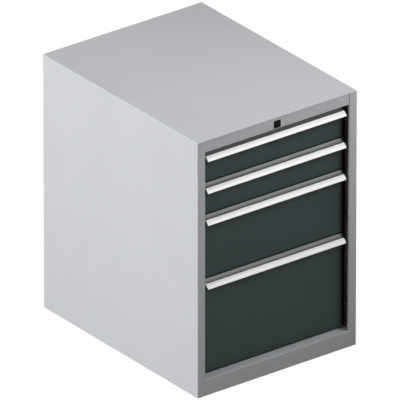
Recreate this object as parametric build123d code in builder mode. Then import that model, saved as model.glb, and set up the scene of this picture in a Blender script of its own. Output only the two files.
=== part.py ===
from build123d import *
import os
from math import cos, hypot, radians, sin

# Workshop drawer cabinet: a folded sheet-steel housing on a plinth, four full-extension drawers on
# roller runners, and one lock for all drawers. Millimetres, X to the right seen from the front,
# the front faces -Y, Z up, origin on the floor under the middle of the footprint.

# Housing
cabinet_width = 564
cabinet_depth = 725
plinth_height = 50
plinth_flange = 40
housing_sheet = 1.5
fold_radius = 2.5
top_edge_round = 1
post_return = 6
rear_return = 25
top_rail_height = 38
top_rail_depth = 22.5
top_rail_setback = 2
top_flange_height = 20
floor_front_setback = 28
panel_clearance = 0.5
anchor_hole_diameter = 11
anchor_edge_distance = 20

# Drawer fronts and the gaps round them
shallow_drawer_height = 100
middle_drawer_height = 200
deep_drawer_height = 300
sill_gap = 5
head_gap = 7
front_gap = 3
front_side_gap = 5
front_recess = 25
front_depth = 20
front_sheet = 1.25
front_edge_round = 2

# Trays
tray_sheet = 1
tray_fold_radius = 2
tray_lift = 8
tray_top_gap = 17
tray_hem = 5
space_behind_tray = 81.75

# Grips
handle_front_clearance = 0.5
handle_top_gap = 2
handle_end_gap = 2.5
end_cap_thickness = 2.5
cove_reach_share = 0.49
cove_drop = 9.5
cove_sagitta = 2
slope_drop = 12
grip_wall = 2.6
nose_round = 1.2
pocket_drop = 7.5
handle_flange_thickness = 2.2
handle_flange_height = 34
label_thickness = 1
label_lip = 0.7
label_end_margin = 3

# Runners
upright_depth = 17
upright_width = 30
upright_sheet = 2
upright_top_gap = 40
upright_slot_width = 4
upright_slot_height = 12
upright_slot_pitch = 25
rail_depth = 13.5
rail_sheet = 2
rail_rise = 40
rail_front_gap = 3.5
drawer_rail_front_gap = 1.5
rail_rear_setback = 14.5
drawer_rail_overhang = 42.25
rail_engagement = 17
opening_clearance = 5
runner_gap = 1.5
carriage_plate = 3
carriage_height = 20
carriage_end_margin = 12
front_roller_inset = 26
rear_roller_inset = 45
roller_diameter = 20
roller_width = 10
roller_clearance = 0.3
roller_end_clearance = 0.4
axle_diameter = 6
axle_clearance = 0.05
axle_head_diameter = 9
axle_head_thickness = 1

# Lock
lock_rise = 16
lock_plate_width = 60
plate_seam = 0.6
plate_lip = 4
bezel_size = 22
bezel_round = 1
barrel_diameter = 18
barrel_length = 28.5
barrel_clearance = 0.1
plug_diameter = 12
plug_clearance = 0.05
plug_face_setback = 0.5
key_slot_width = 1.6
key_slot_height = 8
key_slot_depth = 6
nut_diameter = 26
nut_thickness = 4
cam_gap = 0.3
cam_diameter = 28
cam_thickness = 3
tang_diameter = 8
cam_pin_radius = 10
cam_pin_diameter = 5
cam_pin_length = 10
lock_turn = 90
slot_angle = 45
slide_gap = 2.2
slide_thickness = 3
slide_height = 12
slide_drop = 0.5
slide_pad_wall = 4
slot_clearance = 0.5
bar_thickness = 3
bar_width = 20
bar_inset = 3
bar_neck_width = 8
bar_rail_gap = 2
bar_foot_gap = 5
bar_top_gap = 1
bar_arm_thickness = 3
bar_arm_height = 16
bar_pin_diameter = 5
bar_pin_inset = 3
bar_pin_height_gap = 15
finger_height = 8
finger_thickness = 3
finger_setback = 4
finger_side_gap = 2.5
finger_rail_gap = 1.7
lug_gap = 3.5
lug_thickness = 3
lug_height = 8
lug_rise = 2
lug_overlap = 8
guide_length = 12
guide_wall = 3
guide_clearance = 0.3
guide_groove = 3
slide_guide_shares = (0.22, 0.7)
bar_guide_shares = (0.12, 0.5, 0.88)

# One overrun for all cuts
cut_overrun = 1

# Overall box and heights
drawer_heights = (shallow_drawer_height, shallow_drawer_height, middle_drawer_height, deep_drawer_height)
drawer_stack = sum(drawer_heights)
drawers_bottom = plinth_height + sill_gap
drawers_top = drawers_bottom + drawer_stack
rail_underside = drawers_top + head_gap
cabinet_height = rail_underside + top_rail_height
roof_underside = cabinet_height - housing_sheet
half_width = cabinet_width / 2
half_depth = cabinet_depth / 2
front_y = -half_depth
rear_inner_y = half_depth - 2 * housing_sheet
floor_top = plinth_height + housing_sheet

# Places across the width, from the right wall inwards
wall_inner = half_width - housing_sheet
upright_inner = wall_inner - upright_depth
cabinet_rail_inner = upright_inner - rail_depth
carriage_outer = cabinet_rail_inner - runner_gap
carriage_inner = carriage_outer - carriage_plate
drawer_rail_outer = carriage_inner - runner_gap
tray_side = drawer_rail_outer - rail_depth
post_inner = cabinet_rail_inner + opening_clearance
front_half_width = post_inner - front_side_gap

# Places along the depth
front_face_y = front_y + front_recess
front_back_y = front_face_y + front_depth
tray_front_y = front_face_y + front_sheet
tray_rear_y = rear_inner_y - space_behind_tray
rail_front_y = front_back_y + rail_front_gap
rail_rear_y = half_depth - housing_sheet - rail_rear_setback
drawer_rail_front_y = front_back_y + drawer_rail_front_gap
drawer_rail_rear_y = tray_rear_y + drawer_rail_overhang
drawer_travel = drawer_rail_rear_y - rail_front_y - 2 * rail_engagement
middle_roller_y = rail_front_y + rail_engagement + drawer_travel / 2
front_roller_y = drawer_rail_front_y + front_roller_inset
rear_roller_y = rail_rear_y - rear_roller_inset
rail_height = roller_diameter + 2 * roller_clearance + 2 * rail_sheet

# Lock places
lock_z = rail_underside + lock_rise
rail_face_y = front_y + top_rail_setback
rail_back_y = rail_face_y + housing_sheet
plate_back_y = rail_back_y + housing_sheet
barrel_end_y = rail_face_y + barrel_length
cam_front_y = barrel_end_y + cam_gap
cam_back_y = cam_front_y + cam_thickness
slide_front_y = cam_back_y + slide_gap
slide_back_y = slide_front_y + slide_thickness
half_turn = radians(lock_turn / 2)
pin_offset = cam_pin_radius * sin(half_turn)
lock_travel = 2 * pin_offset
bar_inner = post_inner + bar_inset
bar_outer = bar_inner + bar_thickness
bar_rear_y = rail_front_y - bar_rail_gap
bar_front_y = bar_rear_y - bar_width
bar_pin_x = post_inner - bar_pin_inset
bar_pin_z = cabinet_height - bar_pin_height_gap - lock_travel
arm_back_y = slide_front_y - runner_gap
arm_front_y = arm_back_y - bar_arm_thickness

os.makedirs("parts", exist_ok=True)


def save(piece, name):
    piece.part.label = name
    export_step(piece.part, f"parts/{name}.step")


# Closed outline of a folded sheet: the given points lie on its outer face, the sheet on their left
def sheet_outline(points, sheet, radius):
    with BuildLine(Plane.XY) as outline:
        FilletPolyline(*points, radius=radius)
        offset(amount=sheet, side=Side.LEFT)
    return outline.edges()


# Box from its lowest to its highest corner
def block(low, high, mode=Mode.ADD):
    middle = tuple((a + b) / 2 for a, b in zip(low, high))
    size = [b - a for a, b in zip(low, high)]
    with Locations(middle):
        Box(*size, mode=mode)


# Section of a C-channel in the XZ plane, with its web at web_x and its flanges reaching flange_x
def channel_section(web_x, flange_x, middle_z, height, sheet):
    inwards = 1 if flange_x > web_x else -1
    with Locations(((web_x + flange_x) / 2, middle_z)):
        Rectangle(abs(flange_x - web_x), height)
    with Locations(((web_x + flange_x) / 2 + inwards * sheet, middle_z)):
        Rectangle(abs(flange_x - web_x), height - 2 * sheet, mode=Mode.SUBTRACT)


# Plinth: a ring with inward flanges at the top, which is the visible sill, and at the bottom
with BuildPart() as plinth_frame:
    block((-half_width, -half_depth, 0), (half_width, half_depth, plinth_height))
    upright_folds = plinth_frame.edges().filter_by(Axis.Z)
    top_folds = plinth_frame.edges().group_by(Axis.Z)[-1]
    fillet(upright_folds + top_folds, radius=fold_radius)
    block(
        (-wall_inner, -half_depth + housing_sheet, housing_sheet),
        (wall_inner, half_depth - housing_sheet, plinth_height - housing_sheet),
        mode=Mode.SUBTRACT,
    )
    flange_x = half_width - plinth_flange
    flange_y = half_depth - plinth_flange
    block(
        (-flange_x, -flange_y, -cut_overrun),
        (flange_x, flange_y, plinth_height + cut_overrun),
        mode=Mode.SUBTRACT,
    )
    anchor_span_x = cabinet_width - 2 * anchor_edge_distance
    anchor_span_y = cabinet_depth - 2 * anchor_edge_distance
    with BuildSketch(Plane.XY):
        with GridLocations(anchor_span_x, anchor_span_y, 2, 2):
            Circle(anchor_hole_diameter / 2)
    extrude(amount=housing_sheet, mode=Mode.SUBTRACT)
save(plinth_frame, "plinth_frame")

# Floor panel on the plinth, behind the posts
with BuildPart() as floor_panel:
    block(
        (-wall_inner + panel_clearance, front_y + floor_front_setback, plinth_height),
        (wall_inner - panel_clearance, rear_inner_y - panel_clearance, floor_top),
    )
save(floor_panel, "floor_panel")

# Side panels: the wall, folded round into the front post and the rear return
with BuildPart() as side_panel_right:
    with BuildSketch(Plane.XY.offset(plinth_height)):
        wall_path = (
            (post_inner, front_y + post_return),
            (post_inner, front_y),
            (half_width, front_y),
            (half_width, half_depth),
            (half_width - rear_return, half_depth),
        )
        make_face(sheet_outline(wall_path, housing_sheet, fold_radius))
    extrude(amount=roof_underside - plinth_height)
save(side_panel_right, "side_panel_right")

with BuildPart() as side_panel_left:
    add(mirror(side_panel_right.part, about=Plane.YZ, mode=Mode.PRIVATE))
save(side_panel_left, "side_panel_left")

# Rear panel in front of the rear returns, clear of their folds
rear_panel_half_width = half_width - fold_radius - panel_clearance
with BuildPart() as rear_panel:
    block(
        (-rear_panel_half_width, rear_inner_y, plinth_height),
        (rear_panel_half_width, half_depth - housing_sheet, roof_underside),
    )
save(rear_panel, "rear_panel")

# Top panel: a cover plate with flanges that drop inside the side walls and the rear panel
with BuildPart() as top_panel:
    block((-half_width, -half_depth, roof_underside), (half_width, half_depth, cabinet_height))
    fillet(top_panel.edges().filter_by(Axis.Z), radius=fold_radius)
    fillet(top_panel.edges().group_by(Axis.Z)[-1], radius=top_edge_round)
    flange_front_y = front_y + post_return
    flange_bottom = roof_underside - top_flange_height
    block(
        (-wall_inner, flange_front_y, flange_bottom),
        (-wall_inner + housing_sheet, rear_inner_y, roof_underside),
    )
    block(
        (wall_inner - housing_sheet, flange_front_y, flange_bottom),
        (wall_inner, rear_inner_y, roof_underside),
    )
    block(
        (-wall_inner, rear_inner_y - housing_sheet, flange_bottom),
        (wall_inner, rear_inner_y, roof_underside),
    )
save(top_panel, "top_panel")

# Top rail between the posts, with the window for the lock plate
window_bottom = rail_underside + fold_radius
window_top = roof_underside - fold_radius
with BuildPart() as top_rail:
    with BuildSketch(Plane.YZ.offset(-post_inner)):
        rail_path = (
            (rail_face_y + top_rail_depth, roof_underside),
            (rail_face_y, roof_underside),
            (rail_face_y, rail_underside),
            (rail_face_y + top_rail_depth, rail_underside),
        )
        make_face(sheet_outline(rail_path, housing_sheet, fold_radius))
    extrude(amount=2 * post_inner)
    block(
        (-lock_plate_width / 2, rail_face_y, window_bottom),
        (lock_plate_width / 2, rail_back_y, window_top),
        mode=Mode.SUBTRACT,
    )
save(top_rail, "top_rail")

# Lock plate: fills the window flush, its lips lie against the back of the rail, bored for the barrel
with BuildPart() as lock_plate:
    block(
        (-lock_plate_width / 2 + plate_seam, rail_face_y, window_bottom + plate_seam),
        (lock_plate_width / 2 - plate_seam, rail_back_y, window_top - plate_seam),
    )
    block(
        (-lock_plate_width / 2 - plate_lip, rail_back_y, window_bottom + plate_seam),
        (lock_plate_width / 2 + plate_lip, plate_back_y, window_top - plate_seam),
    )
    with BuildSketch(Plane.XZ.offset(-plate_back_y)):
        with Locations((0, lock_z)):
            Circle(barrel_diameter / 2 + barrel_clearance)
    extrude(amount=plate_back_y - rail_face_y, mode=Mode.SUBTRACT)
save(lock_plate, "lock_plate")

# Slotted uprights on the side walls, which the runners hang on
upright_bottom = floor_top
upright_top = cabinet_height - upright_top_gap
upright_height = upright_top - upright_bottom
slot_count = int(upright_height // upright_slot_pitch)
front_upright_y = rail_front_y + upright_width / 2
rear_upright_y = rail_rear_y - upright_width / 2
with BuildPart() as uprights:
    for upright_y in (front_upright_y, rear_upright_y):
        block(
            (upright_inner, upright_y - upright_width / 2, upright_bottom),
            (wall_inner, upright_y + upright_width / 2, upright_top),
        )
        block(
            (upright_inner + upright_sheet, upright_y - upright_width / 2 + upright_sheet, upright_bottom),
            (wall_inner, upright_y + upright_width / 2 - upright_sheet, upright_top),
            mode=Mode.SUBTRACT,
        )
        with BuildSketch(Plane.YZ.offset(upright_inner)):
            with Locations((upright_y, (upright_bottom + upright_top) / 2)):
                with GridLocations(upright_width, upright_slot_pitch, 1, slot_count):
                    Rectangle(upright_slot_width, upright_slot_height)
        extrude(amount=upright_sheet, mode=Mode.SUBTRACT)
    mirror(about=Plane.YZ)
save(uprights, "uprights")

# Lock case: a square bezel on the plate and a barrel through it, bored for the plug
with BuildPart() as lock_case:
    with BuildSketch(Plane.XZ.offset(-rail_face_y)):
        with Locations((0, lock_z)):
            RectangleRounded(bezel_size, bezel_size, bezel_round)
    extrude(amount=top_rail_setback)
    with BuildSketch(Plane.XZ.offset(-barrel_end_y)):
        with Locations((0, lock_z)):
            Circle(barrel_diameter / 2)
    extrude(amount=barrel_length)
    with BuildSketch(Plane.XZ.offset(-barrel_end_y)):
        with Locations((0, lock_z)):
            Circle(plug_diameter / 2 + plug_clearance)
    extrude(amount=barrel_length + top_rail_setback, mode=Mode.SUBTRACT)
save(lock_case, "lock_case")

# Ring nut that holds the case against the back of the plate
with BuildPart() as lock_nut:
    with BuildSketch(Plane.XZ.offset(-plate_back_y - nut_thickness)):
        with Locations((0, lock_z)):
            RegularPolygon(nut_diameter / 2, 6)
            Circle(barrel_diameter / 2 + barrel_clearance, mode=Mode.SUBTRACT)
    extrude(amount=nut_thickness)
save(lock_nut, "lock_nut")

# Lock plug with its key slot and the tang that carries the cam
plug_front_y = front_y + plug_face_setback
with BuildPart() as lock_plug:
    with BuildSketch(Plane.XZ.offset(-cam_front_y)):
        with Locations((0, lock_z)):
            Circle(plug_diameter / 2)
    extrude(amount=cam_front_y - plug_front_y)
    with BuildSketch(Plane.XZ.offset(-cam_back_y)):
        with Locations((0, lock_z)):
            Circle(tang_diameter / 2)
    extrude(amount=cam_thickness)
    with BuildSketch(Plane.XZ.offset(-plug_front_y - key_slot_depth)):
        with Locations((0, lock_z)):
            Rectangle(key_slot_width, key_slot_height)
    extrude(amount=key_slot_depth, mode=Mode.SUBTRACT)
save(lock_plug, "lock_plug")

# Cam on the tang, with the eccentric pin that stands low on the right when unlocked
with BuildPart() as lock_cam:
    with BuildSketch(Plane.XZ.offset(-cam_back_y)):
        with Locations((0, lock_z)):
            Circle(cam_diameter / 2)
            Circle(tang_diameter / 2 + axle_clearance, mode=Mode.SUBTRACT)
    extrude(amount=cam_thickness)
    with BuildSketch(Plane.XZ.offset(-cam_back_y - cam_pin_length)):
        with Locations((pin_offset, lock_z - cam_pin_radius * cos(half_turn))):
            Circle(cam_pin_diameter / 2)
    extrude(amount=cam_pin_length)
save(lock_cam, "lock_cam")

# Slide behind the top rail: an upright slot for the cam pin and a slanted slot that lifts the bar's pin
slide_top = lock_z - slide_drop
slide_bottom = slide_top - slide_height
pin_high = lock_z - cam_pin_radius * cos(half_turn)
pin_low = lock_z - cam_pin_radius
cam_slot_width = cam_pin_diameter + 2 * slot_clearance
cam_slot_height = pin_high - pin_low + cam_slot_width
cam_slot_length = cam_slot_height + 2 * slot_clearance
bar_slot_width = bar_pin_diameter + 2 * slot_clearance
bar_slot_run = lock_travel / cos(radians(slot_angle))
bar_slot_middle_x = bar_pin_x + lock_travel / 2
bar_slot_middle_z = bar_pin_z + lock_travel / 2
slide_end_reach = lock_travel / 2 + bar_slot_width / 2 + slide_pad_wall
slide_left = pin_offset - cam_slot_width / 2 - slide_pad_wall
slide_right = bar_slot_middle_x + slide_end_reach
with BuildPart() as lock_slide:
    with BuildSketch(Plane.XZ.offset(-slide_back_y)):
        with Locations(((slide_left + slide_right) / 2, (slide_top + slide_bottom) / 2)):
            Rectangle(slide_right - slide_left, slide_height)
        with Locations((pin_offset, (pin_high + pin_low) / 2)):
            Rectangle(cam_slot_width + 2 * slide_pad_wall, cam_slot_height + 2 * slide_pad_wall)
            SlotOverall(cam_slot_length, cam_slot_width, rotation=90, mode=Mode.SUBTRACT)
        with Locations((bar_slot_middle_x, bar_slot_middle_z)):
            Rectangle(2 * slide_end_reach, 2 * slide_end_reach)
            SlotCenterToCenter(bar_slot_run, bar_slot_width, rotation=slot_angle, mode=Mode.SUBTRACT)
    extrude(amount=slide_thickness)
save(lock_slide, "lock_slide")

# Lock bar behind the right post: a strip with an arm and pin at its top and a finger for each drawer
strip_bottom = floor_top + bar_foot_gap
strip_top = drawers_top - lock_travel - bar_top_gap
arm_bottom = bar_pin_z - bar_arm_height / 2
arm_top = bar_pin_z + bar_arm_height / 2
finger_tip = tray_side + tray_hem + finger_side_gap
finger_front_y = bar_rear_y + finger_setback
finger_back_y = finger_front_y + finger_thickness
with BuildPart() as lock_bar:
    block((bar_inner, bar_front_y, strip_bottom), (bar_outer, bar_rear_y, strip_top))
    block((bar_inner, arm_back_y - bar_neck_width, strip_top), (bar_outer, arm_back_y, arm_top))
    block(
        (bar_pin_x - bar_arm_height / 2, arm_front_y, arm_bottom),
        (bar_outer, arm_back_y, arm_top),
    )
    with BuildSketch(Plane.XZ.offset(-slide_back_y - slide_gap)):
        with Locations((bar_pin_x, bar_pin_z)):
            Circle(bar_pin_diameter / 2)
    extrude(amount=slide_back_y + slide_gap - arm_back_y)
    drawer_bottom = drawers_top
    for drawer_height in drawer_heights:
        drawer_bottom = drawer_bottom - drawer_height
        finger_bottom = drawer_bottom + rail_rise + rail_height / 2 + finger_rail_gap
        finger_top = finger_bottom + finger_height
        block((bar_inner, bar_rear_y, finger_bottom), (bar_outer, finger_back_y, finger_top))
        block((finger_tip, finger_front_y, finger_bottom), (bar_outer, finger_back_y, finger_top))
save(lock_bar, "lock_bar")

# Guide blocks: two hang from the top panel round the slide, three hold the front edge of the bar
with BuildPart() as lock_guides:
    for share in slide_guide_shares:
        guide_x = slide_left + share * (bar_pin_x - slide_left)
        block(
            (guide_x, slide_front_y - guide_wall, slide_bottom - guide_wall),
            (guide_x + guide_length, slide_back_y + guide_wall, roof_underside),
        )
        block(
            (guide_x, slide_front_y - guide_clearance, slide_bottom - guide_clearance),
            (guide_x + guide_length, slide_back_y + guide_clearance, slide_top + guide_clearance),
            mode=Mode.SUBTRACT,
        )
    for share in bar_guide_shares:
        guide_z = strip_bottom + share * (strip_top - strip_bottom)
        block(
            (post_inner + fold_radius, front_y + housing_sheet, guide_z),
            (bar_outer + guide_wall, bar_front_y + guide_groove, guide_z + guide_length),
        )
        block(
            (bar_inner - guide_clearance, bar_front_y - guide_clearance, guide_z),
            (bar_outer + guide_clearance, bar_front_y + guide_groove, guide_z + guide_length),
            mode=Mode.SUBTRACT,
        )
save(lock_guides, "lock_guides")

# Grip profile, as points in front of the drawer face and below the top of the grip
handle_reach = front_recess - handle_front_clearance
cove_reach = cove_reach_share * handle_reach
slope_reach = handle_reach - cove_reach
slope_length = hypot(slope_reach, slope_drop)
slope_along = (slope_reach / slope_length, -slope_drop / slope_length)
slope_inwards = (-slope_drop / slope_length, -slope_reach / slope_length)
handle_top = (0, 0)
cove_end = (cove_reach, -cove_drop)
handle_half_width = front_half_width - handle_end_gap


# Point of the sloping face, so far along it and so deep under it
def on_slope(along, depth):
    return tuple(
        start + along * forward + depth * inwards
        for start, forward, inwards in zip(cove_end, slope_along, slope_inwards)
    )


nose_top = on_slope(slope_length, 0)
nose_bottom = on_slope(slope_length, grip_wall)
pocket_front = on_slope(0, grip_wall)
label_end = slope_length - nose_round - label_lip
label_corners = (
    on_slope(label_lip, 0),
    on_slope(label_lip, label_thickness),
    on_slope(label_end, label_thickness),
    on_slope(label_end, 0),
)
pocket_back = (handle_flange_thickness, -pocket_drop)
flange_front = (handle_flange_thickness, -handle_flange_height)
flange_back = (0, -handle_flange_height)


# Plane of the grip profile: forwards along its x, upwards along its y
def profile_plane(offset_x, drawer_top):
    grip_top = drawer_top - handle_top_gap
    return Plane(origin=(offset_x, front_face_y, grip_top), x_dir=(0, -1, 0), z_dir=(-1, 0, 0))


# Outer outline of the grip, closed by the given points from the nose back to the drawer face
def grip_outline(upper_points, lower_points):
    with BuildLine(Plane.XY) as outline:
        SagittaArc(handle_top, cove_end, -cove_sagitta)
        Polyline(cove_end, *upper_points, nose_top, nose_bottom, *lower_points, handle_top)
    return outline.edges()


# The two corners of the nose, which are rounded
def nose_corners(profile):
    return [profile.vertices().sort_by_distance(Vertex(*corner))[0] for corner in (nose_top, nose_bottom)]


# Pieces of one drawer, which stands between drawer_bottom and drawer_top
def make_drawer(number, drawer_bottom, drawer_top):
    runner_z = drawer_bottom + rail_rise

    # Folded front panel, open at the back
    with BuildPart() as front:
        block(
            (-front_half_width, front_face_y, drawer_bottom + front_gap / 2),
            (front_half_width, front_back_y, drawer_top - front_gap / 2),
        )
        fillet(front.edges().group_by(Axis.Y)[0], radius=front_edge_round)
        block(
            (-front_half_width + front_sheet, tray_front_y, drawer_bottom + front_gap / 2 + front_sheet),
            (front_half_width - front_sheet, front_back_y, drawer_top - front_gap / 2 - front_sheet),
            mode=Mode.SUBTRACT,
        )
    save(front, f"front_{number}")

    # Tray welded to the back of the front, hemmed outwards, with the lug that the raised finger catches
    tray_bottom = drawer_bottom + tray_lift
    tray_top = drawer_top - tray_top_gap
    lug_front_y = finger_back_y + lug_gap
    lug_bottom = runner_z + rail_height / 2 + finger_rail_gap + finger_height + lug_rise
    with BuildPart() as tray:
        block((-tray_side, tray_front_y, tray_bottom), (tray_side, tray_rear_y, tray_top))
        fillet(tray.edges().group_by(Axis.Z)[0], radius=tray_fold_radius)
        offset(amount=-tray_sheet, openings=tray.faces().sort_by(Axis.Z)[-1])
        for hem_start in (-tray_side - tray_hem, tray_side):
            block(
                (hem_start, front_back_y, tray_top - tray_sheet),
                (hem_start + tray_hem, tray_rear_y, tray_top),
            )
        block(
            (tray_side, lug_front_y, lug_bottom),
            (finger_tip + lug_overlap, lug_front_y + lug_thickness, lug_bottom + lug_height),
        )
    save(tray, f"tray_{number}")

    # Extruded grip with the recess for the label strip
    with BuildPart() as handle:
        with BuildSketch(profile_plane(0, drawer_top)) as profile:
            make_face(grip_outline(label_corners, (pocket_front, pocket_back, flange_front, flange_back)))
            fillet(nose_corners(profile), radius=nose_round)
        extrude(amount=handle_half_width - end_cap_thickness, both=True)
    save(handle, f"handle_{number}")

    # White label strip, flush in the sloping face
    with BuildPart() as label_strip:
        with BuildSketch(profile_plane(0, drawer_top)):
            with BuildLine():
                Polyline(*label_corners, close=True)
            make_face()
        extrude(amount=handle_half_width - end_cap_thickness - label_end_margin, both=True)
    save(label_strip, f"label_strip_{number}")

    # End caps that close the grip at both ends
    with BuildPart() as handle_end_caps:
        with BuildSketch(profile_plane(handle_half_width, drawer_top)) as profile:
            make_face(grip_outline((), (flange_front, flange_back)))
            fillet(nose_corners(profile), radius=nose_round)
        extrude(amount=end_cap_thickness)
        mirror(about=Plane.YZ)
    save(handle_end_caps, f"handle_end_caps_{number}")

    # Runner rails: one pair on the tray and one pair on the uprights
    with BuildPart() as drawer_rails:
        with BuildSketch(Plane.XZ.offset(-drawer_rail_rear_y)):
            channel_section(tray_side, drawer_rail_outer, runner_z, rail_height, rail_sheet)
        extrude(amount=drawer_rail_rear_y - drawer_rail_front_y)
        mirror(about=Plane.YZ)
    save(drawer_rails, f"drawer_rails_{number}")

    with BuildPart() as cabinet_rails:
        with BuildSketch(Plane.XZ.offset(-rail_rear_y)):
            channel_section(upright_inner, cabinet_rail_inner, runner_z, rail_height, rail_sheet)
        extrude(amount=rail_rear_y - rail_front_y)
        mirror(about=Plane.YZ)
    save(cabinet_rails, f"cabinet_rails_{number}")

    # Carriages: a plate between the rails, with axles to the drawer side and to the cabinet side
    axle_reach = 2 * roller_end_clearance + roller_width
    inner_axles = (front_roller_y, middle_roller_y)
    outer_axles = (middle_roller_y, rear_roller_y)
    carriage_length = rear_roller_y - front_roller_y + 2 * carriage_end_margin
    with BuildPart() as carriages:
        with BuildSketch(Plane.YZ.offset(carriage_inner)):
            with Locations(((front_roller_y + rear_roller_y) / 2, runner_z)):
                SlotOverall(carriage_length, carriage_height)
        extrude(amount=carriage_plate)
        with BuildSketch(Plane.YZ.offset(carriage_outer)):
            with Locations(*[(axle_y, runner_z) for axle_y in outer_axles]):
                Circle(axle_diameter / 2)
        extrude(amount=axle_reach + axle_head_thickness)
        with BuildSketch(Plane.YZ.offset(carriage_outer + axle_reach)):
            with Locations(*[(axle_y, runner_z) for axle_y in outer_axles]):
                Circle(axle_head_diameter / 2)
        extrude(amount=axle_head_thickness)
        with BuildSketch(Plane.YZ.offset(carriage_inner)):
            with Locations(*[(axle_y, runner_z) for axle_y in inner_axles]):
                Circle(axle_diameter / 2)
        extrude(amount=-axle_reach - axle_head_thickness)
        with BuildSketch(Plane.YZ.offset(carriage_inner - axle_reach)):
            with Locations(*[(axle_y, runner_z) for axle_y in inner_axles]):
                Circle(axle_head_diameter / 2)
        extrude(amount=-axle_head_thickness)
        mirror(about=Plane.YZ)
    save(carriages, f"carriages_{number}")

    # Rollers on the axles; the middle axle carries one on each side of the plate
    inner_roller_x = carriage_inner - roller_end_clearance - roller_width
    outer_roller_x = carriage_outer + roller_end_clearance
    roller_sets = (
        ("front", front_roller_y, (inner_roller_x,)),
        ("middle", middle_roller_y, (inner_roller_x, outer_roller_x)),
        ("rear", rear_roller_y, (outer_roller_x,)),
    )
    for place, axle_y, roller_starts in roller_sets:
        with BuildPart() as rollers:
            for roller_start in roller_starts:
                with BuildSketch(Plane.YZ.offset(roller_start)):
                    with Locations((axle_y, runner_z)):
                        Circle(roller_diameter / 2)
                        Circle(axle_diameter / 2 + axle_clearance, mode=Mode.SUBTRACT)
                extrude(amount=roller_width)
            mirror(about=Plane.YZ)
        save(rollers, f"rollers_{place}_{number}")


drawer_top = drawers_top
for number, drawer_height in enumerate(drawer_heights, start=1):
    make_drawer(number, drawer_top - drawer_height, drawer_top)
    drawer_top = drawer_top - drawer_height
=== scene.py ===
import math

import bmesh
import bpy
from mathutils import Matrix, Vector


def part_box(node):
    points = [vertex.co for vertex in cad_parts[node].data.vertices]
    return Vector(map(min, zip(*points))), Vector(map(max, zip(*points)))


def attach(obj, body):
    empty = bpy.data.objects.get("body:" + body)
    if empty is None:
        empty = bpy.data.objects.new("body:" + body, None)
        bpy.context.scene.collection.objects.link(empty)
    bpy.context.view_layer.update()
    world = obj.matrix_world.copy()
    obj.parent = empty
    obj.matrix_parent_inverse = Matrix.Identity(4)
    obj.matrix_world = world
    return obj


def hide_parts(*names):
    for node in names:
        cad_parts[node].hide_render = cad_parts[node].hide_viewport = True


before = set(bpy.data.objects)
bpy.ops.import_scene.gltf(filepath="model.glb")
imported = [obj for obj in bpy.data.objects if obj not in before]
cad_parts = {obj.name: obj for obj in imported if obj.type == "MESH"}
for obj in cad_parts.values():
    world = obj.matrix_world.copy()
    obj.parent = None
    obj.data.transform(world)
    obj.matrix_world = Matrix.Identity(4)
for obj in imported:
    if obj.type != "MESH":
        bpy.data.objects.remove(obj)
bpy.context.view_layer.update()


# Plinth and floor panel
# The plinth is a ring of folded steel sheet with its corners welded and ground, the floor panel a
# plate spot-welded on it. Both carry the light grey powder coat of the whole housing.
housing_grey = (0.497, 0.508, 0.527)
coat_grain = 0.0011
coat_grain_depth = 0.00002
coat_patch = 0.15
coat_patch_tint = 0.015
coat_sheen_patch = 0.02
coat_sheen_change = 0.04
# The edge values lift folded edges to a lighter tone: partly a coat rubbed thin there, partly a painted
# highlight along the folds.
edge_rub_highlight_width = 0.0012
edge_rub_highlight_fold = 0.8
edge_rub_highlight_patch = 0.012
edge_rub_highlight_least = 0.15
edge_rub_highlight_most = 0.6
edge_rub_highlight_lift = 1.35
cloud_dark = 0.3
cloud_bright = 0.7


def start_finish(name):
    finish = bpy.data.materials.new(name)
    finish.use_nodes = True
    tree = finish.node_tree
    coordinates = tree.nodes.new("ShaderNodeTexCoord")
    return finish, tree, tree.nodes["Principled BSDF"], coordinates.outputs["Object"]


def cloud(tree, place, size, low, high):
    noise = tree.nodes.new("ShaderNodeTexNoise")
    noise.inputs["Scale"].default_value = 1 / size
    tree.links.new(place, noise.inputs["Vector"])
    spread = tree.nodes.new("ShaderNodeMapRange")
    spread.inputs["From Min"].default_value = cloud_dark
    spread.inputs["From Max"].default_value = cloud_bright
    spread.inputs["To Min"].default_value = low
    spread.inputs["To Max"].default_value = high
    tree.links.new(noise.outputs["Fac"], spread.inputs["Value"])
    return spread.outputs["Result"]


def reckoned(tree, operation, *values):
    step = tree.nodes.new("ShaderNodeMath")
    step.operation = operation
    for socket, value in zip(step.inputs, values):
        if isinstance(value, bpy.types.NodeSocket):
            tree.links.new(value, socket)
        else:
            socket.default_value = value
    return step.outputs["Value"]


def lightened(colour, factor):
    return (*[channel * factor for channel in colour], 1)


def tinted(tree, factor, colour, change):
    mix = tree.nodes.new("ShaderNodeMix")
    mix.data_type = "RGBA"
    mix.inputs["A"].default_value = lightened(colour, 1 - change)
    mix.inputs["B"].default_value = lightened(colour, 1 + change)
    tree.links.new(factor, mix.inputs["Factor"])
    return mix.outputs["Result"]


def raised(tree, shader, height, depth):
    bump = tree.nodes.new("ShaderNodeBump")
    bump.inputs["Distance"].default_value = depth
    tree.links.new(height, bump.inputs["Height"])
    tree.links.new(bump.outputs["Normal"], shader.inputs["Normal"])


# Lightens the colour along folded edges by a patchy amount: partly rubbed coat, partly a painted highlight
# where the edges would catch light.
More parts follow.
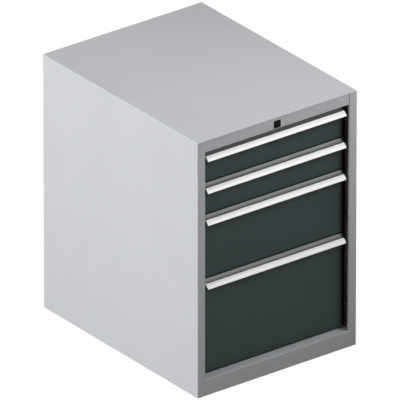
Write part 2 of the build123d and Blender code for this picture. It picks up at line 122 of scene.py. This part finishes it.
def rubbed_and_highlighted(tree, place, coat, colour):
    rounded = tree.nodes.new("ShaderNodeBevel")
    rounded.inputs["Radius"].default_value = edge_rub_highlight_width
    flat = tree.nodes.new("ShaderNodeNewGeometry")
    agree = tree.nodes.new("ShaderNodeVectorMath")
    agree.operation = "DOT_PRODUCT"
    tree.links.new(rounded.outputs["Normal"], agree.inputs[0])
    tree.links.new(flat.outputs["Normal"], agree.inputs[1])
    edge = tree.nodes.new("ShaderNodeMapRange")
    edge.inputs["From Min"].default_value = 1.0
    edge.inputs["From Max"].default_value = edge_rub_highlight_fold
    tree.links.new(agree.outputs["Value"], edge.inputs["Value"])
    wear_and_highlight = cloud(tree, place, edge_rub_highlight_patch, edge_rub_highlight_least, edge_rub_highlight_most)
    mix = tree.nodes.new("ShaderNodeMix")
    mix.data_type = "RGBA"
    mix.inputs["B"].default_value = lightened(colour, edge_rub_highlight_lift)
    tree.links.new(reckoned(tree, "MULTIPLY", edge.outputs["Result"], wear_and_highlight), mix.inputs["Factor"])
    tree.links.new(coat, mix.inputs["A"])
    return mix.outputs["Result"]


def powder_coat(name, colour, grain, grain_depth, roughness, shine):
    finish, tree, shader, place = start_finish(name)
    coat = tinted(tree, cloud(tree, place, coat_patch, 0, 1), colour, coat_patch_tint)
    tree.links.new(rubbed_and_highlighted(tree, place, coat, colour), shader.inputs["Base Color"])
    sheen = cloud(tree, place, coat_sheen_patch, roughness - coat_sheen_change, roughness + coat_sheen_change)
    tree.links.new(sheen, shader.inputs["Roughness"])
    raised(tree, shader, cloud(tree, place, grain, 0, 1), grain_depth)
    shader.inputs["Specular IOR Level"].default_value = shine
    return finish


def dress(node, finish):
    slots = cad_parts[node].data.materials
    slots.clear()
    slots.append(finish)


housing_paint = powder_coat(
    "housing_paint", housing_grey, coat_grain, coat_grain_depth, roughness=0.64, shine=0.25,
)
for node in ("plinth_frame", "floor_panel"):
    dress(node, housing_paint)


# Side panels, rear panel, top panel, top rail and lock plate
# Each side is one sheet folded round into the front post and the rear return. The rear plate, the
# cover plate and the rail are welded between them, and the lock plate closes the rail's window.
# A row of spot welds shows on each rear return.
weld_radius = 0.0032
weld_height = 0.0003
weld_count = 10
weld_inset = 0.0135
weld_end_margin = 0.040
dome_segments = 20
dome_rings = 10


def run_nodes(tree, mesh, inputs):
    carrier = bpy.data.objects.new(mesh.name, mesh)
    bpy.context.scene.collection.objects.link(carrier)
    modifier = carrier.modifiers.new(tree.name, "NODES")
    modifier.node_group = tree
    for item in tree.interface.items_tree:
        if item.in_out == "INPUT" and item.name in inputs:
            modifier[item.identifier] = inputs[item.name]
    view = bpy.context.evaluated_depsgraph_get()
    result = bpy.data.meshes.new_from_object(carrier.evaluated_get(view))
    carrier.modifiers.clear()
    carrier.data = result
    return carrier


def new_tree(name, sockets):
    tree = bpy.data.node_groups.new(name, "GeometryNodeTree")
    for socket, kind in (("Geometry", "Geometry"), *sockets, ("Material", "Material")):
        tree.interface.new_socket(socket, in_out="INPUT", socket_type=f"NodeSocket{kind}")
    tree.interface.new_socket("Geometry", in_out="OUTPUT", socket_type="NodeSocketGeometry")
    return tree, tree.nodes.new("NodeGroupInput"), tree.nodes.new("NodeGroupOutput")


def realized(tree, instances):
    solid = tree.nodes.new("GeometryNodeRealizeInstances")
    tree.links.new(instances, solid.inputs["Geometry"])
    return solid.outputs["Geometry"]


def end_in_finish(tree, geometry, source, sink):
    painted = tree.nodes.new("GeometryNodeSetMaterial")
    tree.links.new(geometry, painted.inputs["Geometry"])
    tree.links.new(source.outputs["Material"], painted.inputs["Material"])
    tree.links.new(painted.outputs["Geometry"], sink.inputs["Geometry"])


def dome_tree():
    tree, source, sink = new_tree("low_domes", (("Radius", "Float"), ("Flatness", "Vector")))
    link = tree.links.new
    dome = tree.nodes.new("GeometryNodeMeshUVSphere")
    dome.inputs["Segments"].default_value = dome_segments
    dome.inputs["Rings"].default_value = dome_rings
    link(source.outputs["Radius"], dome.inputs["Radius"])
    outward = tree.nodes.new("GeometryNodeInputNamedAttribute")
    outward.data_type = "FLOAT_VECTOR"
    outward.inputs["Name"].default_value = "outward"
    upright = tree.nodes.new("FunctionNodeAlignRotationToVector")
    upright.axis = "Z"
    link(outward.outputs["Attribute"], upright.inputs["Vector"])
    domes = tree.nodes.new("GeometryNodeInstanceOnPoints")
    link(source.outputs["Geometry"], domes.inputs["Points"])
    link(dome.outputs["Mesh"], domes.inputs["Instance"])
    link(upright.outputs["Rotation"], domes.inputs["Rotation"])
    link(source.outputs["Flatness"], domes.inputs["Scale"])
    smooth = tree.nodes.new("GeometryNodeSetShadeSmooth")
    link(realized(tree, domes.outputs["Instances"]), smooth.inputs["Geometry"])
    end_in_finish(tree, smooth.outputs["Geometry"], source, sink)
    return tree


def dome_row(name, places, radius, height, finish):
    points = bpy.data.meshes.new(name)
    points.from_pydata([place for place, outward in places], [], [])
    directions = points.attributes.new("outward", "FLOAT_VECTOR", "POINT")
    for value, (place, outward) in zip(directions.data, places):
        value.vector = outward
    return run_nodes(low_domes, points, {
        "Radius": radius, "Flatness": (1, 1, height / radius), "Material": finish,
    })


def evenly(start, end, count):
    return [start + (end - start) * step / (count - 1) for step in range(count)]


for node in ("side_panel_left", "side_panel_right", "rear_panel", "top_panel", "top_rail", "lock_plate"):
    dress(node, housing_paint)
low_domes = dome_tree()
wall_low, wall_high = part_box("side_panel_right")
weld_places = [
    ((side * (wall_high.x - weld_inset), wall_high.y, z), (0, 1, 0))
    for side in (-1, 1)
    for z in evenly(wall_low.z + weld_end_margin, wall_high.z - weld_end_margin, weld_count)
]
welds = dome_row("rear_spot_welds", weld_places, weld_radius, weld_height, housing_paint)
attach(welds, "housing")


# Uprights and cabinet rails
# Slotted channels of zinc-plated steel stand on the floor panel at each side wall, and the fixed
# rails of the runners hang in their slots, a pair for each of the four drawers.
drawer_numbers = (1, 2, 3, 4)
# The zinc grey is partly the plating's own grey, partly painted shade: it is set darker so the uprights seen
# through the gap beside the right post stay dark.
zinc_grey_with_painted_shade = (0.360, 0.368, 0.376)
zinc_flake = 0.006
zinc_flake_tint = 0.06
zinc_sheen_patch = 0.008
zinc_roughness = (0.55, 0.70)
zinc_grain = 0.002
zinc_grain_depth = 0.00001


def zinc_plate(name):
    finish, tree, shader, place = start_finish(name)
    spangle = tree.nodes.new("ShaderNodeTexVoronoi")
    spangle.inputs["Scale"].default_value = 1 / zinc_flake
    tree.links.new(place, spangle.inputs["Vector"])
    flakes = tree.nodes.new("ShaderNodeSeparateColor")
    tree.links.new(spangle.outputs["Color"], flakes.inputs["Color"])
    tint = tinted(tree, flakes.outputs["Red"], zinc_grey_with_painted_shade, zinc_flake_tint)
    tree.links.new(tint, shader.inputs["Base Color"])
    tree.links.new(cloud(tree, place, zinc_sheen_patch, *zinc_roughness), shader.inputs["Roughness"])
    raised(tree, shader, cloud(tree, place, zinc_grain, 0, 1), zinc_grain_depth)
    shader.inputs["Metallic"].default_value = 1
    return finish


zinc_steel = zinc_plate("zinc_steel")
dress("uprights", zinc_steel)
for number in drawer_numbers:
    dress(f"cabinet_rails_{number}", zinc_steel)


# Lock
# A die-cast case with a square black face holds the turning plug. Behind the rail its cam shifts a
# slide, which lifts a steel bar with one finger for each drawer, and acetal blocks guide both. The
# bar is coloured near black as painted shade, so the gap beside the right post reads as deep shadow.
lock_black_colour = (0.006, 0.006, 0.0065)
guide_black_colour = (0.020, 0.020, 0.021)
# The lock bar's near black is painted shade for the gap beside the right post.
bar_painted_shade_colour = (0.012, 0.012, 0.0125)
grained_patch = 0.01
grained_patch_tint = 0.08
grained_sheen_patch = 0.003
grained_sheen_change = 0.05


def grained(name, colour, grain, grain_depth, roughness, shine):
    finish, tree, shader, place = start_finish(name)
    tint = tinted(tree, cloud(tree, place, grained_patch, 0, 1), colour, grained_patch_tint)
    tree.links.new(tint, shader.inputs["Base Color"])
    sheen = cloud(
        tree, place, grained_sheen_patch, roughness - grained_sheen_change, roughness + grained_sheen_change,
    )
    tree.links.new(sheen, shader.inputs["Roughness"])
    raised(tree, shader, cloud(tree, place, grain, 0, 1), grain_depth)
    shader.inputs["Specular IOR Level"].default_value = shine
    return finish


lock_black = grained(
    "lock_black", lock_black_colour, grain=0.0006, grain_depth=0.000006, roughness=0.42, shine=0.06,
)
guide_acetal = grained(
    "guide_acetal", guide_black_colour, grain=0.0005, grain_depth=0.00001, roughness=0.45, shine=0.3,
)
# Near-black finish of the lock bar: painted shade in the gap beside the right post.
bar_painted_shade = grained(
    "bar_painted_shade", bar_painted_shade_colour, grain=0.0008, grain_depth=0.000012, roughness=0.65, shine=0.1,
)
for node in ("lock_case", "lock_plug"):
    dress(node, lock_black)
for node in ("lock_nut", "lock_cam", "lock_slide"):
    dress(node, zinc_steel)
dress("lock_bar", bar_painted_shade)
dress("lock_guides", guide_acetal)


# Trays
# Each drawer is a tray folded from thin sheet, hemmed along its sides and welded to the front. Rows
# of slots for dividers are punched through its walls, the runner rails are riveted on, and it has a
# smooth light grey coat.
tray_grey = (0.480, 0.488, 0.500)
tray_sheet = 0.001
tray_merge = 0.00001
slot_width = 0.0032
slot_pitch = 0.017
slot_end_margin = 0.040
slot_edge_gap = 0.004
slot_row_gap = 0.012
slot_rows = {1: (1, 0.018), 2: (1, 0.018), 3: (2, 0.040), 4: (3, 0.050)}
slot_corners = 12
punch_reach = 1.0
rivet_radius = 0.0030
rivet_height = 0.0008
rivet_count = 5
rivet_end_margin = 0.060
rail_depth = 0.0135


def slot_tree():
    tree, source, sink = new_tree("punched_slots", (
        ("First", "Vector"), ("Step", "Vector"), ("Columns", "Int"), ("Rise", "Vector"), ("Rows", "Int"),
        ("Turn", "Rotation"), ("Slot Width", "Float"), ("Slot Height", "Float"), ("Through", "Float"),
    ))
    link = tree.links.new
    row = tree.nodes.new("GeometryNodeMeshLine")
    link(source.outputs["Columns"], row.inputs["Count"])
    link(source.outputs["First"], row.inputs["Start Location"])
    link(source.outputs["Step"], row.inputs["Offset"])
    column = tree.nodes.new("GeometryNodeMeshLine")
    link(source.outputs["Rows"], column.inputs["Count"])
    link(source.outputs["Rise"], column.inputs["Offset"])
    grid = tree.nodes.new("GeometryNodeInstanceOnPoints")
    link(row.outputs["Mesh"], grid.inputs["Points"])
    link(column.outputs["Mesh"], grid.inputs["Instance"])
    punch = tree.nodes.new("GeometryNodeMeshCylinder")
    punch.inputs["Vertices"].default_value = slot_corners
    link(reckoned(tree, "MULTIPLY", source.outputs["Slot Width"], 0.5), punch.inputs["Radius"])
    link(source.outputs["Through"], punch.inputs["Depth"])
    straight = reckoned(tree, "SUBTRACT", source.outputs["Slot Height"], source.outputs["Slot Width"])
    spot = tree.nodes.new("GeometryNodeInputPosition")
    parts = tree.nodes.new("ShaderNodeSeparateXYZ")
    link(spot.outputs["Position"], parts.inputs["Vector"])
    end = reckoned(tree, "SIGN", parts.outputs["Y"])
    shift = tree.nodes.new("ShaderNodeCombineXYZ")
    link(reckoned(tree, "MULTIPLY", end, reckoned(tree, "MULTIPLY", straight, 0.5)), shift.inputs["Y"])
    oblong = tree.nodes.new("GeometryNodeSetPosition")
    link(punch.outputs["Mesh"], oblong.inputs["Geometry"])
    link(shift.outputs["Vector"], oblong.inputs["Offset"])
    punches = tree.nodes.new("GeometryNodeInstanceOnPoints")
    link(realized(tree, grid.outputs["Instances"]), punches.inputs["Points"])
    link(oblong.outputs["Geometry"], punches.inputs["Instance"])
    link(source.outputs["Turn"], punches.inputs["Rotation"])
    cut = tree.nodes.new("GeometryNodeMeshBoolean")
    cut.operation = "DIFFERENCE"
    cut.solver = "EXACT"
    link(source.outputs["Geometry"], cut.inputs["Mesh 1"])
    link(realized(tree, punches.outputs["Instances"]), cut.inputs["Mesh 2"])
    end_in_finish(tree, cut.outputs["Mesh"], source, sink)
    return tree


tray_paint = powder_coat(
    "tray_paint", tray_grey, grain=0.0008, grain_depth=0.00001, roughness=0.42, shine=0.4,
)
punched_slots = slot_tree()
for number in drawer_numbers:
    low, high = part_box(f"tray_{number}")
    rail_low, rail_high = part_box(f"drawer_rails_{number}")
    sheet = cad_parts[f"tray_{number}"].data.copy()
    sheet.name = f"slotted_tray_{number}"
    merged = bmesh.new()
    merged.from_mesh(sheet)
    bmesh.ops.remove_doubles(merged, verts=merged.verts, dist=tray_merge)
    merged.to_mesh(sheet)
    merged.free()
    rows, slot_height = slot_rows[number]
    tray = run_nodes(punched_slots, sheet, {
        "First": (0, low.y + slot_end_margin, rail_high.z + slot_edge_gap + slot_height / 2),
        "Step": (0, slot_pitch, 0),
        "Columns": int((high.y - low.y - 2 * slot_end_margin) / slot_pitch) + 1,
        "Rise": (0, 0, slot_height + slot_row_gap),
        "Rows": rows,
        "Turn": (math.radians(90), 0, math.radians(90)),
        "Slot Width": slot_width,
        "Slot Height": slot_height,
        "Through": punch_reach,
        "Material": tray_paint,
    })
    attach(tray, f"drawer_{number}")
    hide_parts(f"tray_{number}")
    wall = rail_high.x - rail_depth - tray_sheet
    runner_z = (rail_low.z + rail_high.z) / 2
    rivet_places = [
        ((side * wall, y, runner_z), (-side, 0, 0))
        for side in (-1, 1)
        for y in evenly(low.y + rivet_end_margin, high.y - rivet_end_margin, rivet_count)
    ]
    rivets = dome_row(f"tray_rivets_{number}", rivet_places, rivet_radius, rivet_height, zinc_steel)
    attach(rivets, f"drawer_{number}")


# Drawer fronts
# Steel panels with their edges folded back, each welded to the front wall of its tray. Their dark
# grey powder coat has the same fine texture as the housing's.
front_grey = (0.027, 0.045, 0.0435)
front_paint = powder_coat(
    "front_paint", front_grey, coat_grain, coat_grain_depth, roughness=0.5, shine=0.25,
)
for number in drawer_numbers:
    dress(f"front_{number}", front_paint)


# Grips
# Extruded aluminium across the whole front, satin anodised, with a white label strip in the sloping
# face and a dark moulded cap pressed on each end. A moulded white holder with a clear film lies
# over the label and is clipped round the nose of the grip.
grip_grey = (0.128, 0.130, 0.133)
grip_line = 0.0006
grip_line_stretch = 0.02
grip_line_tint = 0.03
grip_line_depth = 0.000004
grip_roughness = (0.58, 0.70)
label_white_colour = (0.940, 0.940, 0.940)
label_fibre = 0.0015
label_fibre_tint = 0.01
label_sheen_patch = 0.004
label_roughness = (0.45, 0.55)
film_weight = 0.4
film_roughness = 0.3
label_shine = 0.2
cap_dark = (0.030, 0.031, 0.032)
holder_gap = 0.00006
holder_sheet = 0.0006
holder_top_edge = 0.00025
holder_bulge = 0.0010
holder_overlap = 0.0006
holder_steps = 12
holder_crease = 35
nose_start = 0.0007
nose_round = 0.0012
nose_wrap = 80
nose_steps = 9
label_facing_up = 0.1


def anodised(name, colour):
    finish, tree, shader, place = start_finish(name)
    draw = tree.nodes.new("ShaderNodeMapping")
    draw.inputs["Scale"].default_value = (grip_line_stretch, 1, 1)
    tree.links.new(place, draw.inputs["Vector"])
    drawn = draw.outputs["Vector"]
    lines = cloud(tree, drawn, grip_line, 0, 1)
    tree.links.new(tinted(tree, lines, colour, grip_line_tint), shader.inputs["Base Color"])
    tree.links.new(cloud(tree, drawn, grip_line, *grip_roughness), shader.inputs["Roughness"])
    raised(tree, shader, lines, grip_line_depth)
    shader.inputs["Metallic"].default_value = 1
    return finish


def label_card(name, colour):
    finish, tree, shader, place = start_finish(name)
    fibres = cloud(tree, place, label_fibre, 0, 1)
    tree.links.new(tinted(tree, fibres, colour, label_fibre_tint), shader.inputs["Base Color"])
    tree.links.new(cloud(tree, place, label_sheen_patch, *label_roughness), shader.inputs["Roughness"])
    shader.inputs["Coat Weight"].default_value = film_weight
    shader.inputs["Coat Roughness"].default_value = film_roughness
    shader.inputs["Specular IOR Level"].default_value = label_shine
    return finish


def holder_profile(length):
    top_along, top_out = -holder_overlap, holder_gap + holder_top_edge
    end_along, end_out = length + nose_start, holder_gap + holder_sheet
    outside = []
    for step in evenly(0, 1, holder_steps):
        bulge = 4 * holder_bulge * step * (1 - step)
        outside.append((
            top_along + (end_along - top_along) * step,
            top_out + (end_out - top_out) * step + bulge,
        ))
    inside = []
    outer_radius = nose_round + holder_gap + holder_sheet
    inner_radius = nose_round + holder_gap
    for angle in evenly(0, math.radians(nose_wrap), nose_steps)[1:]:
        for radius, points in ((outer_radius, outside), (inner_radius, inside)):
            points.append((end_along + radius * math.sin(angle), radius * math.cos(angle) - nose_round))
    return outside + inside[::-1] + [(end_along, holder_gap), (top_along, holder_gap)]


def extruded(name, profile, low_x, high_x):
    count = len(profile)
    sides = [(corner, (corner + 1) % count) for corner in range(count)]
    mesh = bpy.data.meshes.new(name)
    mesh.from_pydata(
        [(x, y, z) for x in (low_x, high_x) for y, z in profile], [],
        [(first, second, count + second, count + first) for first, second in sides]
        + [tuple(range(count)), tuple(range(2 * count - 1, count - 1, -1))],
    )
    outward = bmesh.new()
    outward.from_mesh(mesh)
    bmesh.ops.recalc_face_normals(outward, faces=outward.faces)
    outward.to_mesh(mesh)
    outward.free()
    mesh.shade_smooth()
    mesh.set_sharp_from_angle(angle=math.radians(holder_crease))
    return mesh


grip_aluminium = anodised("grip_aluminium", grip_grey)
label_white = label_card("label_white", label_white_colour)
cap_plastic = grained(
    "cap_plastic", cap_dark, grain=0.0005, grain_depth=0.00002, roughness=0.5, shine=0.25,
)
for number in drawer_numbers:
    dress(f"handle_{number}", grip_aluminium)
    dress(f"label_strip_{number}", label_white)
    dress(f"handle_end_caps_{number}", cap_plastic)
    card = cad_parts[f"label_strip_{number}"].data
    face = max(card.polygons, key=lambda polygon: polygon.area * (polygon.normal.z > label_facing_up))
    corners = [card.vertices[corner].co for corner in face.vertices]
    upper = max(corners, key=lambda corner: corner.z)
    lower = min(corners, key=lambda corner: corner.z)
    slope = Vector((0, lower.y - upper.y, lower.z - upper.z))
    downhill = slope.normalized()
    points = [upper + downhill * along + face.normal * out for along, out in holder_profile(slope.length)]
    profile = [(point.y, point.z) for point in points]
    grip_low, grip_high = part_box(f"handle_{number}")
    mesh = extruded(f"label_holder_{number}", profile, grip_low.x, grip_high.x)
    mesh.materials.append(label_white)
    holder = bpy.data.objects.new(f"label_holder_{number}", mesh)
    bpy.context.scene.collection.objects.link(holder)
    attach(holder, f"drawer_{number}")


# Runners
# A zinc-plated rail on each side of the tray, and a carriage plate between it and the fixed rail,
# with nylon rollers on riveted axles.
nylon_white = (0.760, 0.750, 0.710)
roller_nylon = grained(
    "roller_nylon", nylon_white, grain=0.0008, grain_depth=0.00001, roughness=0.42, shine=0.5,
)
for number in drawer_numbers:
    dress(f"drawer_rails_{number}", zinc_steel)
    dress(f"carriages_{number}", zinc_steel)
    for place in ("front", "middle", "rear"):
        dress(f"rollers_{place}_{number}", roller_nylon)


# Studio
# A wide pale floor that shows white to the camera and still takes the soft shadow, an even white
# surround, and four soft lamps: a strong one at the left, one above, a small one at the right front
# and one behind that keeps the back and the right side readable.
floor_reach = 40.0
floor_albedo = 0.25
floor_white_share = 0.88
floor_white_level = 1.10
surround_strength = 0.12
surround_white_level = 0.985


def seen_directly(tree):
    path = tree.nodes.new("ShaderNodeLightPath")
    seen = path.outputs["Is Camera Ray"]
    for ray in ("Is Glossy Ray", "Is Transmission Ray"):
        seen = reckoned(tree, "MAXIMUM", seen, path.outputs[ray])
    return seen


def floor_finish():
    finish = bpy.data.materials.new("studio_floor")
    finish.use_nodes = True
    tree = finish.node_tree
    tree.nodes.clear()
    matt = tree.nodes.new("ShaderNodeBsdfDiffuse")
    matt.inputs["Color"].default_value = (floor_albedo, floor_albedo, floor_albedo, 1)
    white = tree.nodes.new("ShaderNodeEmission")
    white.inputs["Strength"].default_value = floor_white_level
    mix = tree.nodes.new("ShaderNodeMixShader")
    tree.links.new(reckoned(tree, "MULTIPLY", seen_directly(tree), floor_white_share), mix.inputs["Fac"])
    tree.links.new(matt.outputs["BSDF"], mix.inputs[1])
    tree.links.new(white.outputs["Emission"], mix.inputs[2])
    output = tree.nodes.new("ShaderNodeOutputMaterial")
    tree.links.new(mix.outputs["Shader"], output.inputs["Surface"])
    return finish


def softbox(name, place, aim, width, height, power, spread=180):
    lamp = bpy.data.lights.new(name, "AREA")
    lamp.shape = "RECTANGLE"
    lamp.size = width
    lamp.size_y = height
    lamp.energy = power
    lamp.spread = math.radians(spread)
    box = bpy.data.objects.new(name, lamp)
    box.location = place
    box.rotation_mode = "QUATERNION"
    box.rotation_quaternion = (Vector(aim) - Vector(place)).to_track_quat("-Z", "Y")
    bpy.context.scene.collection.objects.link(box)


floor_mesh = bpy.data.meshes.new("studio_floor")
floor_corners = [(x * floor_reach, y * floor_reach, 0) for x, y in ((-1, -1), (1, -1), (1, 1), (-1, 1))]
floor_mesh.from_pydata(floor_corners, [], [(0, 1, 2, 3)])
floor_mesh.materials.append(floor_finish())
floor = bpy.data.objects.new("studio_floor", floor_mesh)
bpy.context.scene.collection.objects.link(floor)

world = bpy.data.worlds.new("studio_surround")
world.use_nodes = True
surround = world.node_tree.nodes["Background"]
surround.inputs["Color"].default_value = (1, 1, 1, 1)
level = world.node_tree.nodes.new("ShaderNodeMapRange")
level.inputs["To Min"].default_value = surround_strength
level.inputs["To Max"].default_value = surround_white_level
world.node_tree.links.new(seen_directly(world.node_tree), level.inputs["Value"])
world.node_tree.links.new(level.outputs["Result"], surround.inputs["Strength"])
bpy.context.scene.world = world

softbox("lamp_left", place=(-4.5, 0.5, 1.8), aim=(0, 0, 0.45), width=3.0, height=3.0, power=238)
softbox(
    "lamp_right_front", place=(1.25, -1.93, 2.26), aim=(0.05, -0.36, 0.90),
    width=0.9, height=0.9, power=5.8, spread=58,
)
softbox("lamp_above", place=(-0.6, 0.7, 3.6), aim=(0, 0, 0.5), width=3.0, height=3.0, power=29)
softbox("lamp_behind", place=(2.2, 3.6, 0.55), aim=(0, 0, 0.4), width=2.0, height=0.9, power=55)


# Camera
# A very long lens far off, because the photograph shows the cabinet's edges parallel. It looks from
# the left and above, so that the front, the left side and the top show.
view_azimuth = math.radians(-37.2)
view_elevation = math.radians(26.2)
view_target = Vector((0.0011, 0, 0.3977))
picture_width = 1.1332
lens_length = 1700.0

camera_data = bpy.data.cameras.new("camera")
camera_data.lens = lens_length
camera_distance = picture_width * lens_length / camera_data.sensor_width
camera_data.clip_end = 4 * camera_distance
camera = bpy.data.objects.new("camera", camera_data)
backwards = Vector((
    math.sin(view_azimuth) * math.cos(view_elevation),
    -math.cos(view_azimuth) * math.cos(view_elevation),
    math.sin(view_elevation),
))
camera.location = view_target + backwards * camera_distance
camera.rotation_mode = "QUATERNION"
camera.rotation_quaternion = (-backwards).to_track_quat("-Z", "Y")
bpy.context.scene.collection.objects.link(camera)
bpy.context.scene.camera = camera
bpy.context.scene.view_settings.view_transform = "Standard"
